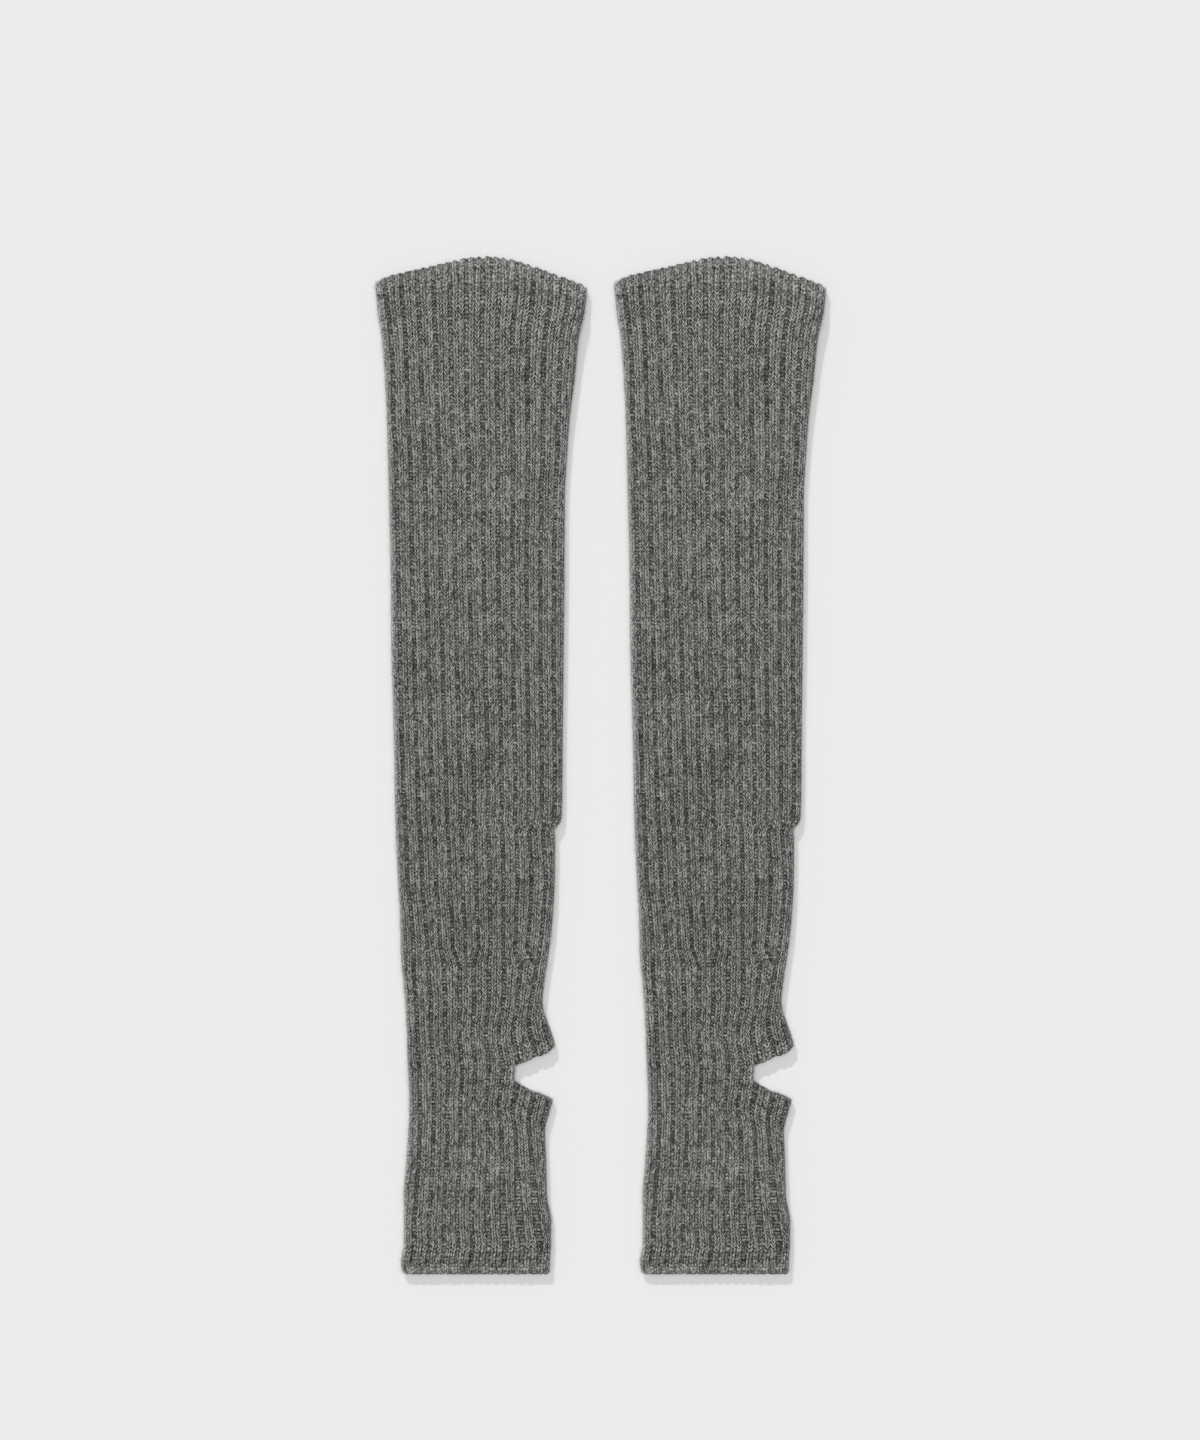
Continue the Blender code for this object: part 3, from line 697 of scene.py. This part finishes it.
def knit_surface(courses, phases, ribs, welt, ends, random):
    """Points of the upper side round both folds, in rows from the lower left, a key for each that
    rises across the leg, the painted shade and how light the wool looks there, and the opening's
    column."""
    lines, merged, drawn = rib_layout(courses, ribs)
    parted, furrows, to_edge = None, FURROW_MIDDLE, 0.0
    if welt:
        seam, edge, furrows = welt
        parted = smooth((courses - seam) / (edge - seam))
        to_edge = parted[:, None]
    opened = opened_ribs(courses, lines.shape[1] - 1)
    knit = columns_of(lines, merged, drawn, opened, parted, furrows)
    rows, columns = knit.distance.shape
    left, right = fold_places(courses)
    width = right - left
    away = np.maximum(LOWER_LIP - courses, courses - UPPER_LIP)
    distance, hole = drawn_to_hole(knit.distance, courses, width, away)
    from_hole = np.arange(columns) - hole
    cut_ends = [end for end in ends if end in TEETH]

    def near_lips(reach):
        """1 on the opening's lips, 0 past a reach."""
        return smooth((from_hole + LIP_COLUMNS) / LIP_COLUMNS) * fade(away, reach)[:, None]

    def near_end(end, reach):
        """1 at an end of the leg, 0 past a reach."""
        return fade(np.abs(courses - end), reach)[:, None]

    # Each stitch leans up from the middle of its wale, less so near ends, lips and decreases
    to_ends = np.ones(rows)
    for end in ends:
        to_ends = to_ends * smooth(np.abs(courses - end) / SHEAR_FADE)
    loose = (1.0 - near_lips(SHEAR_FADE)) * to_ends[:, None]
    lean = 1.0 - (1.0 - knit.across) * (1.0 - knit.merging)
    place = (courses[:, None] + np.zeros_like(distance), distance / width[:, None])
    drift = DRIFT_SIZE * unevenness(DRIFT, *place)
    course = courses[:, None] + (SHEAR * PITCH * lean + drift) * loose
    straight = left[:, None] + distance + SWAY_SIZE * unevenness(SWAY, *place) * loose
    across_leg = np.stack(
        [np.interp(course[:, k], courses, straight[:, k]) for k in range(columns)], axis=1
    )

    # The lips are bound off and the ends pressed. The first and last rows match the next band
    inner = np.ones((rows, 1))
    inner[0] = inner[-1] = 0.0
    # depth is the real relief; shade is painted shade for the wool's colour
    depth, shade = relief_of(knit, phases, place, loose, inner, to_edge, random)
    depth = depth * (1.0 - LIP_LEVEL[0] * near_lips(LIP_LEVEL[1]))
    lip = near_lips(LIP_REACH) * (from_hole >= 0)
    upper_lip = (courses > HOLE_MIDDLE)[:, None]
    depth = depth - np.where(upper_lip, *LIP_PRESSES) * lip
    for end in cut_ends:
        depth = depth - END_PRESS[0] * near_end(end, END_PRESS[1])
    depth = np.minimum(depth, 0.0)
    spread = inner * (1.0 - LIP_CALM[0] * near_lips(LIP_CALM[1]))
    yarn = yarn_of(knit, courses, phases, spread, ends, random)
    end_wale = smooth(1.0 - away / HOLE_WALE[1])[:, None] * (np.abs(from_hole + 2) < 3)
    yarn = yarn + HOLE_WALE[0] * end_wale

    # Beads on the lips and teeth at the two ends
    out = np.where(upper_lip, 1.0, -1.0) * filled(LIP_BEAD * lip * (knit.across - 0.5))
    gap, base, rise = TOOTH
    tooth = np.where(knit.kind >= FURROW_KIND, gap, rise * (1.0 - knit.across**2) + base)
    for end in cut_ends:
        out = out + near_end(end, TOOTH_REACH) * filled(TEETH[end] * tooth)
    crest = CREST + (WELT_CREST - CREST) * to_edge
    folded = turned_over(courses, course, across_leg, depth, shade, yarn, crest, out)
    return (*folded, hole + len(FILL_STEPS))


def turned_over(courses, course, across_leg, depth, shade, yarn, crest, out):
    """Points of the surface turned over at both folds, with keys, shade and yarn, and filled
    down to the lower edge of each fold."""
    left_at, right_at = fold_places(course)
    width_at = right_at - left_at
    to_left, to_right = wrapped(across_leg - left_at), wrapped(right_at - across_leg)
    unrolled = np.where(to_left < width_at / 2.0, to_left, width_at - to_right)
    bottom = FOLD_RADIUS - math.pi * FOLD_ARC
    unrolled = filled(unrolled, bottom, width_at[:, -1:] - bottom)
    depth = filled(depth)
    shade = filled(shade, FILL_SHADE)
    yarn = filled(yarn, FILL_TONE)
    course = filled(course, courses[:, None])
    left_at, right_at = fold_places(course)
    width_at = right_at - left_at
    unrolled[:, -1] = width_at[:, -1] - bottom

    over_left = np.clip((FOLD_RADIUS - unrolled) / FOLD_ARC, 0.0, math.pi)
    over_right = np.clip((FOLD_RADIUS - (width_at - unrolled)) / FOLD_ARC, 0.0, math.pi)
    turned = np.maximum(over_left, over_right)
    at_left = over_left > 0.0
    soft = np.where(at_left, *FOLD_SOFTNESS) * smooth(turned / FOLD_REACH)
    shade = shade + (FOLD_SHADE - shade) * soft
    # Painted highlight on the left fold's fuzz, which faces the light
    fuzz = smooth((turned - HIGHLIGHT_FROM[0]) / HIGHLIGHT_FROM[1])
    pale = FOLD_TONE + np.where(at_left, LEFT_FOLD_HIGHLIGHT, 0.0) * fuzz
    yarn = yarn + (pale - yarn) * soft
    quarter = math.pi / 2.0
    depth = depth * (1.0 - FOLD_LEVEL * smooth(turned / quarter)) * fade(turned - quarter, quarter)
    sign = np.where(at_left, -1.0, 1.0)
    puff = np.where(at_left, *FOLD_PUFFS)
    flat_x = np.clip(unrolled, FOLD_RADIUS, width_at - FOLD_RADIUS)
    x = flat_x + sign * (FOLD_RADIUS + puff + depth) * np.sin(turned)
    z = crest / 2.0 + (crest / 2.0 + depth) * np.cos(turned)
    share = np.clip(x / width_at, 0.0, 1.0)
    height = height_at(share, course)
    y = height - LEG_LENGTH / 2.0 + out
    points = np.stack([left_at + x, y, z + lift_at(share, height)], axis=2)
    return points, unrolled / width_at, shade, yarn


def plain_rings(shell, courses):
    """The underside with its broad ribs, and the space between the layers, above and below: numbers
    of the points, their shares of the width and the column at the opening."""
    left, right = fold_places(courses)
    width = (right - left)[:, None]
    inset = np.select([courses == 0.0, courses == TOP_COURSE], END_INSETS)[:, None]

    def placed(shares, heights, wall):
        shares = np.broadcast_to(shares, (len(courses), len(shares)))
        across = wall / width + shares * (1.0 - 2.0 * wall / width)
        hole = int(np.argmin(np.abs(across[0] - HOLE_SHARE)))
        across[within(courses, LOWER_LIP, UPPER_LIP), hole] = HOLE_SHARE
        height = height_at(across, courses[:, None])
        y = height - LEG_LENGTH / 2.0 + inset
        x, z = left[:, None] + across * width, heights + lift_at(across, height)
        return shell.add(np.stack([x, y, z], axis=2)), across, hole

    ribs = range(UNDER_RIBS)
    profile = [((rib + along) / UNDER_RIBS, lift) for rib in ribs for along, lift in UNDER_PROFILE]
    shares, lifts = np.array(profile[1:]).T
    inner_shares = np.linspace(0.0, 1.0, INNER_COLUMNS)
    under = placed(shares, lifts, FOLD_RADIUS)
    above, below = (placed(inner_shares, z, FOLD_WALL) for z in (UPPER_START, UNDER_LAYER))
    return under, above, below


def within(courses, low, high):
    """Which courses lie from one up to another, both included."""
    return (courses >= low - TINY) & (courses <= high + TINY)


def grid_round_hole(shell, ids, courses, hole):
    """Faces of a grid that leaves the heel opening free."""
    beside = within(courses, LOWER_LIP, UPPER_LIP)
    if beside.sum() < 2:
        shell.grid(ids)
        return
    for rows, columns in (
        (within(courses, -math.inf, LOWER_LIP), slice(None)),
        (beside, slice(0, hole + 1)),
        (within(courses, UPPER_LIP, math.inf), slice(None)),
    ):
        if rows.sum() > 1:
            shell.grid(ids[rows][:, columns])


def knit_piece(name, bands, plain, welt, ends, seed):
    """One closed piece of the flattened tube, knitted on its upper side."""
    shell = Shell()
    random = np.random.RandomState(seed)
    rows = []
    for courses, phases, ribs in bands:
        points, keys, *wool_values, hole = knit_surface(courses, phases, ribs, welt, ends, random)
        ids = shell.add(points, *wool_values)
        grid_round_hole(shell, ids, courses, hole)
        rows.append((courses, ids, keys, hole))
    for (_, low, low_keys, _), (_, high, high_keys, _) in zip(rows, rows[1:]):
        shell.zip(low_keys[-1], low[-1], high_keys[0], high[0])

    rings = plain_rings(shell, plain)
    for ids, _, hole in rings:
        grid_round_hole(shell, ids, plain, hole)
    (under, under_shares, under_hole), (above, above_shares, above_hole), below_ring = rings
    below, below_shares, below_hole = below_ring

    fine = np.concatenate([courses for courses, *_ in rows])
    left_edge, right_edge = (np.concatenate([row[1][:, at] for row in rows]) for at in (0, -1))
    shell.zip(fine, left_edge, plain, under[:, 0])
    shell.grid(np.stack([above[:, 0], below[:, 0]], axis=1))
    spans = [(-math.inf, math.inf)]
    if plain[0] < LOWER_LIP < plain[-1]:
        spans = [(-math.inf, LOWER_LIP), (UPPER_LIP, math.inf)]
    for span in spans:
        some, few = within(fine, *span), within(plain, *span)
        shell.zip(fine[some], right_edge[some], plain[few], under[few, -1])
        shell.grid(np.stack([above[few, -1], below[few, -1]], axis=1))

    def keyed(keys, ids, way):
        """Points with keys: 0 to 1 on the upper side, 1 to 2 on the underside."""
        return [(1.0 + way * key, int(point)) for key, point in zip(keys, ids)][::way]

    def rim(outer_ids, outer_keys, row, columns=None):
        """Faces from the outside to the inside at a cut edge, right round or along a lip."""
        front, back = keyed(outer_keys, outer_ids, -1), keyed(under_shares[row], under[row], 1)
        over = keyed(above_shares[row], above[row], -1)
        beneath = keyed(below_shares[row], below[row], 1)
        if columns is None:
            outer, inner = front + back, over + beneath
            outer.append((outer[0][0] + 2.0, outer[0][1]))
            inner.append((inner[0][0] + 2.0, inner[0][1]))
        else:
            at_front, at_back, at_over, at_beneath = columns
            back, beneath = back[at_back:], beneath[at_beneath:]
            front, over = front[: len(front) - at_front], over[: len(over) - at_over]
            outer = [(key - 2.0, point) for key, point in back] + front
            inner = [(key - 2.0, point) for key, point in beneath] + over
        shell.zip(*zip(*outer), *zip(*inner), flat=True)

    rim(rows[0][1][0], rows[0][2][0], 0)
    rim(rows[-1][1][-1], rows[-1][2][-1], -1)
    lips = (LOWER_LIP, UPPER_LIP)
    for courses, ids, keys, hole in rows:
        if courses[0] < LOWER_LIP < courses[-1]:
            for lip in lips:
                row, at = np.argmin(np.abs(courses - lip)), np.argmin(np.abs(plain - lip))
                rim(ids[row], keys[row], at, (hole, under_hole, above_hole, below_hole))
            some, few = within(courses, *lips), within(plain, *lips)
            end, inside = ids[some, hole], above[few, above_hole]
            shell.zip(courses[some], end, plain[few], inside, flat=True)
            shell.grid(np.stack([under[few, under_hole], below[few, below_hole]], axis=1))
    return shell.mesh(name)


def rows_of(start, stretches):
    """Courses and phases of the rows in stretches of even courses, with one more at the end."""
    courses, phases = [], []
    for end, count in stretches:
        for course in range(count):
            for phase, part in enumerate(PHASES):
                courses.append(start + (end - start) * (course + part) / count)
                phases.append(phase)
        start = end
    return np.array([*courses, start]), np.array([*phases, 0])


def between(courses, phases, low, high, last=None):
    """Rows from one course up to another, with one more row at the upper end if it is given."""
    some = (courses >= low - TINY) & (courses < high - TINY)
    found, kinds = courses[some], phases[some]
    if last is not None:
        found, kinds = np.append(found, last), np.append(kinds, 0)
    return found, kinds


def plain_rows(low, high, through):
    """Courses for plain surfaces, at most PLAIN_STEP apart, with the given ones among them."""
    stops = [low, *[stop for stop in through if low < stop < high], high]
    found = []
    for start, end in zip(stops, stops[1:]):
        count = max(1, round((end - start) / PLAIN_STEP))
        found += [start + (end - start) * step / count for step in range(count)]
    return np.array([*found, high])


def cut_of(low, high):
    """Flat size and area of the cloth between two courses, all round the tube, in metres."""
    courses = np.linspace(low, high, 60)
    left, right = fold_places(courses)
    rounds = 2.0 * (right - left) * MM
    steps = np.diff(courses) * MM
    area = float(np.sum((rounds[:-1] + rounds[1:]) / 2.0 * steps))
    return (float(rounds.max()), (high - low) * MM), area


def set_inputs(made, values):
    """Give some of a node's inputs their values."""
    for name, value in values.items():
        made.inputs[name].default_value = value


def new_material(name, values):
    """A material and its shader, with some inputs given."""
    material = bpy.data.materials.new(name)
    material.use_nodes = True
    shader = material.node_tree.nodes["Principled BSDF"]
    set_inputs(shader, values)
    return material, shader


def node(tree, kind, **values):
    """A shader node with some settings and inputs given."""
    made = tree.nodes.new(kind)
    for name, value in values.items():
        if name in made.inputs:
            set_inputs(made, {name: value})
        else:
            setattr(made, name, value)
    return made


def wool(name, dark, middle, light):
    """Heathered wool: mottled yarn of mixed fibres with a fibrous surface, darkened by the painted
    shade that the depth attribute holds.
    """
    material, shader = new_material(name, WOOL_SURFACE)
    tree = material.node_tree
    link = tree.links.new
    place = node(tree, "ShaderNodeTexCoord")
    drawn = node(tree, "ShaderNodeMapping", Scale=DRAWN_OUT)
    link(place.outputs["Object"], drawn.inputs["Vector"])

    def noise(scale, detail, source=place.outputs["Object"]):
        made = node(tree, "ShaderNodeTexNoise", Scale=scale, Detail=detail, Roughness=0.6)
        link(source, made.inputs["Vector"])
        return made.outputs["Fac"]

    def math_of(operation, first, second):
        made = node(tree, "ShaderNodeMath", operation=operation)
        for socket, value in zip(made.inputs, (first, second)):
            if isinstance(value, float):
                socket.default_value = value
            else:
                link(value, socket)
        return made.outputs[0]

    # The depth attribute holds painted shade, the yarn attribute the yarn's tone with painted light
    # and shade
    depth = node(tree, "ShaderNodeAttribute", attribute_name="depth").outputs["Fac"]
    yarn = node(tree, "ShaderNodeAttribute", attribute_name="yarn").outputs["Fac"]
    flecks, mottle, cloud = noise(*FLECKS, drawn.outputs[0]), noise(*MOTTLE), noise(*CLOUD)
    mix = math_of("MULTIPLY", yarn, YARN_MIX)
    for source, share in ((flecks, FLECK_MIX), (mottle, MOTTLE_MIX), (cloud, MOTTLE_MIX)):
        mix = math_of("ADD", mix, math_of("MULTIPLY", source, share))
    # Painted shade: the wool is darker where the depth attribute is greater
    mix = math_of("SUBTRACT", mix, math_of("MULTIPLY", depth, PAINTED_SHADE_MIX))
    mix = math_of("SUBTRACT", mix, MIX_LEVEL)
    ramp = node(tree, "ShaderNodeValToRGB")
    stops = ramp.color_ramp.elements
    stops[0].color, stops[1].color = (*dark, 1.0), (*light, 1.0)
    stops.new(0.5).color = (*middle, 1.0)
    link(mix, ramp.inputs[0])
    link(ramp.outputs[0], shader.inputs["Base Color"])
    fibres = noise(*FIBROUS, drawn.outputs[0])
    bump = node(tree, "ShaderNodeBump", **WOOL_BUMP)
    link(fibres, bump.inputs["Height"])
    link(bump.outputs[0], shader.inputs["Normal"])
    return material


def edge_path():
    """Points along the folds, the ends and the opening's lips: place, lift and way outwards."""
    shares = np.linspace(0.0, 1.0, 200)
    lip_shares = np.linspace(HOLE_SHARE, 1.0, 60)
    courses = np.linspace(0.5, TOP_COURSE - 0.5, 700)
    below, above = courses[courses < LOWER_LIP], courses[courses > UPPER_LIP]
    corner = np.linspace(LOWER_LIP, UPPER_LIP, 10)
    stretches = (
        (0.0, courses, (-1.0, 0.0), LEFT_DENSITY),
        (1.0, below, (1.0, 0.0), RIGHT_DENSITY),
        (1.0, above, (1.0, 0.0), RIGHT_DENSITY),
        (shares, TOP_COURSE, (0.0, 1.0), END_DENSITY),
        (shares, 0.0, (0.0, -1.0), END_DENSITY),
        (lip_shares, LOWER_LIP, (0.0, 1.0), LIP_DENSITY),
        (lip_shares, UPPER_LIP, (0.0, -1.0), LIP_DENSITY),
        (HOLE_SHARE, corner, (1.0, 0.0), HOLE_DENSITY),
    )
    places, ways = [], []
    for share, course, way, density in stretches:
        share, course = np.broadcast_arrays(share, course)
        left, right = fold_places(course)
        height = height_at(share, course)
        line = [left + share * (right - left), height - LEG_LENGTH / 2.0, lift_at(share, height)]
        steps = np.linalg.norm(np.diff(np.stack(line, axis=1), axis=0), axis=1)
        along = np.concatenate([[0.0], np.cumsum(np.minimum(steps, LONGEST_STEP))])
        even = np.linspace(0.0, along[-1], int(along[-1] * FIBRES * density))
        places.append(np.stack([np.interp(even, along, values) for values in line], axis=1))
        ways.append(np.broadcast_to(way, (len(even), 2)))
    return np.vstack(places), np.vstack(ways)


def unit(vectors):
    """The same directions, all of length one."""
    return vectors / np.linalg.norm(vectors, axis=1)[:, None]


def loose_fibres(name, random):
    """Short fibres along the edges, each a thin closed spike."""
    places, ways = edge_path()
    places, lift = places[:, :2], places[:, 2]
    count = len(places)
    side = np.stack([-ways[:, 1], ways[:, 0]], axis=1)
    turn = random.normal(0.0, FIBRE_TURN, count)[:, None]
    usual = np.where(ways[:, 0] < -0.5, LEFT_FIBRE_LENGTH, FIBRE_LENGTH)
    length = np.clip(random.exponential(usual), *FIBRE_LENGTHS)[:, None]
    flat = ways * np.cos(turn) + side * np.sin(turn)
    rise = random.uniform(-FIBRE_RISE, FIBRE_RISE, (count, 1))
    way = np.concatenate([flat, rise], axis=1)
    at_fold = np.abs(ways[:, 0]) > 0.5
    fold_heights = random.uniform(*FOLD_ROOTS[:2], count)
    height = np.where(at_fold, fold_heights, random.uniform(*EDGE_ROOTS[:2], count))
    inside = np.where(at_fold, FOLD_ROOTS[2], EDGE_ROOTS[2])[:, None]
    root = np.concatenate([places - ways * inside, height[:, None]], axis=1)
    tip = root + way * (length + inside)
    tip[:, 2] = np.clip(tip[:, 2], *FIBRE_TIPS)
    root[:, 2] += lift
    tip[:, 2] += lift
    across = unit(np.cross(way, (0.0, 0.0, 1.0)))
    upwards = unit(np.cross(across, way))
    points = []
    for angle in (0.0, math.tau / 3.0, 2.0 * math.tau / 3.0):
        points.append(root + FIBRE_RADIUS * (across * math.cos(angle) + upwards * math.sin(angle)))
    shell = Shell()
    tones = random.uniform(*FIBRE_TONES, count)[:, None]
    ids = shell.add(np.stack([*points, tip], axis=1), 0.0, tones)
    for face in ((0, 2, 1), (0, 1, 3), (1, 2, 3), (2, 0, 3)):
        shell.faces += ids[:, face].tolist()
        shell.flat += [False] * count
    return shell.mesh(name)


def in_scene(name, data):
    """A new object in the scene."""
    made = bpy.data.objects.new(name, data)
    bpy.context.scene.collection.objects.link(made)
    return made


def in_both_legs(name, mesh, material, stands_for=None):
    """The two objects that show a mesh, one in each leg."""
    mesh.materials.append(material)
    made = {}
    for side, x in SIDES:
        shown = made[side] = in_scene(f"{side}_{name}", mesh)
        shown.location.x = x * MM
        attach(shown, "root")
        if stands_for:
            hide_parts(f"{side}_{stands_for}")
    return made


def build_floor():
    """A wide sheet of pale paper, a hair below the wool."""
    mesh = bpy.data.meshes.new("floor")
    sides = ((-1, -1), (1, -1), (1, 1), (-1, 1))
    corners = [(x * FLOOR_REACH, y * FLOOR_REACH, 0.0) for x, y in sides]
    mesh.from_pydata(corners, [], [(0, 1, 2, 3)])
    mesh.materials.append(new_material("pale_paper", FLOOR_SURFACE)[0])
    floor = in_scene("floor", mesh)
    floor.location.z = -FLOOR_DROP
    return floor


def build_light():
    """A pale surround, a small key lamp and a wide one above."""
    world = bpy.data.worlds.new("studio")
    world.use_nodes = True
    background = world.node_tree.nodes["Background"]
    set_inputs(background, {"Color": (1.0, 1.0, 1.0, 1.0), "Strength": WORLD_LIGHT})
    bpy.context.scene.world = world
    for name, (strength, angle, travel) in (("key", KEY_LIGHT), ("top", TOP_LIGHT)):
        light = bpy.data.lights.new(name, "SUN")
        light.energy = strength
        light.angle = math.radians(angle)
        lamp = in_scene(name, light)
        lamp.rotation_mode = "QUATERNION"
        lamp.rotation_quaternion = Vector(travel).to_track_quat("-Z", "Y")


def build_camera():
    """Straight above the pair, as far away as a long lens would be."""
    lens = bpy.data.cameras.new("camera")
    lens.lens, lens.sensor_width = CAMERA_LENS
    lens.clip_end = CAMERA_REACH
    camera = in_scene("camera", lens)
    camera.location = CAMERA_PLACE
    bpy.context.scene.camera = camera
    bpy.context.scene.view_settings.view_transform = "Standard"


def build_legs(floor):
    """Both legs, knitted once and shown twice. The flat size and area of each tube piece's cloth
    are worked out and not used.
    """
    rib_wool, welt_wool = wool("rib_wool", *RIB_WOOL), wool("welt_wool", *WELT_WOOL)
    courses, phases = rows_of(FOOT_END, STRETCHES)
    upper = list(range(RIBS))
    middle = [rib for rib in upper if rib != 11]
    lower = [rib for rib in middle if rib not in (5, 10)]
    above_step = np.flatnonzero(courses >= STEP_HEIGHT - TINY)
    split = courses[above_step[SPLIT_AFTER * len(PHASES)]]
    gap = SEAM_GAP / 2.0
    calf, thigh = (FOOT_END, split - gap), (split + gap, TOP_END)
    foot, top = (0.0, FOOT_SEAM - gap), (TOP_SEAM + gap, TOP_COURSE)
    calf_bands = [
        (*between(courses, phases, FOOT_END, DECREASE_HEIGHT), lower),
        (*between(courses, phases, DECREASE_HEIGHT, STEP_HEIGHT), middle),
        (*between(courses, phases, STEP_HEIGHT, split, split - gap), upper),
    ]
    thigh_bands = [(*between(courses, phases, split, TOP_END, TOP_END), upper)]
    thigh_bands[0][0][0] += gap
    top_bands = [(*rows_of(top[0], [(top[1], TOP_WELT_COURSES)]), upper)]
    foot_bands = [(*rows_of(foot[0], [(foot[1], FOOT_WELT_COURSES)]), lower)]

    # The pieces' rows at the seams are the high ones of a stitch
    for bands, row in ((calf_bands, 0), (thigh_bands, -1), (top_bands, 0), (foot_bands, -1)):
        bands[0][1][row] = 1
    top_welt, foot_welt = (TOP_SEAM, TOP_COURSE, TOP_FURROWS), (FOOT_SEAM, 0.0, FOOT_FURROWS)
    pieces = (
        ("calf_knit", "leg_tube", calf_bands, calf, (FOOT_END,), None),
        ("thigh_knit", "leg_tube", thigh_bands, thigh, (TOP_END,), None),
        ("top_welt_knit", "top_welt", top_bands, top, top, top_welt),
        ("foot_welt_knit", "foot_welt", foot_bands, foot, foot, foot_welt),
    )
    hole_stops = (LOWER_LIP, HOLE_MIDDLE, UPPER_LIP)
    made = {}
    for number, (name, stands_for, bands, span, ends, welt) in enumerate(pieces):
        rows = plain_rows(*span, hole_stops)
        mesh = knit_piece(name, bands, rows, welt, ends, SEED + number)
        material, slot = (welt_wool, "wool_welt") if welt else (rib_wool, "wool_rib")
        made[name] = in_both_legs(name, mesh, material, stands_for)
    fuzz = loose_fibres("loose_fibres", np.random.RandomState(SEED + FIBRE_SEED))
    in_both_legs("loose_fibres", fuzz, rib_wool)
    for side, _ in SIDES:
        for name, hem, span in (
            ("calf_knit", "foot_welt_knit", calf), ("thigh_knit", "top_welt_knit", thigh),
        ):
            flat, area = cut_of(*span)
            tube, hem = made[name][side], made[hem][side]


build_camera()
build_light()
build_legs(build_floor())
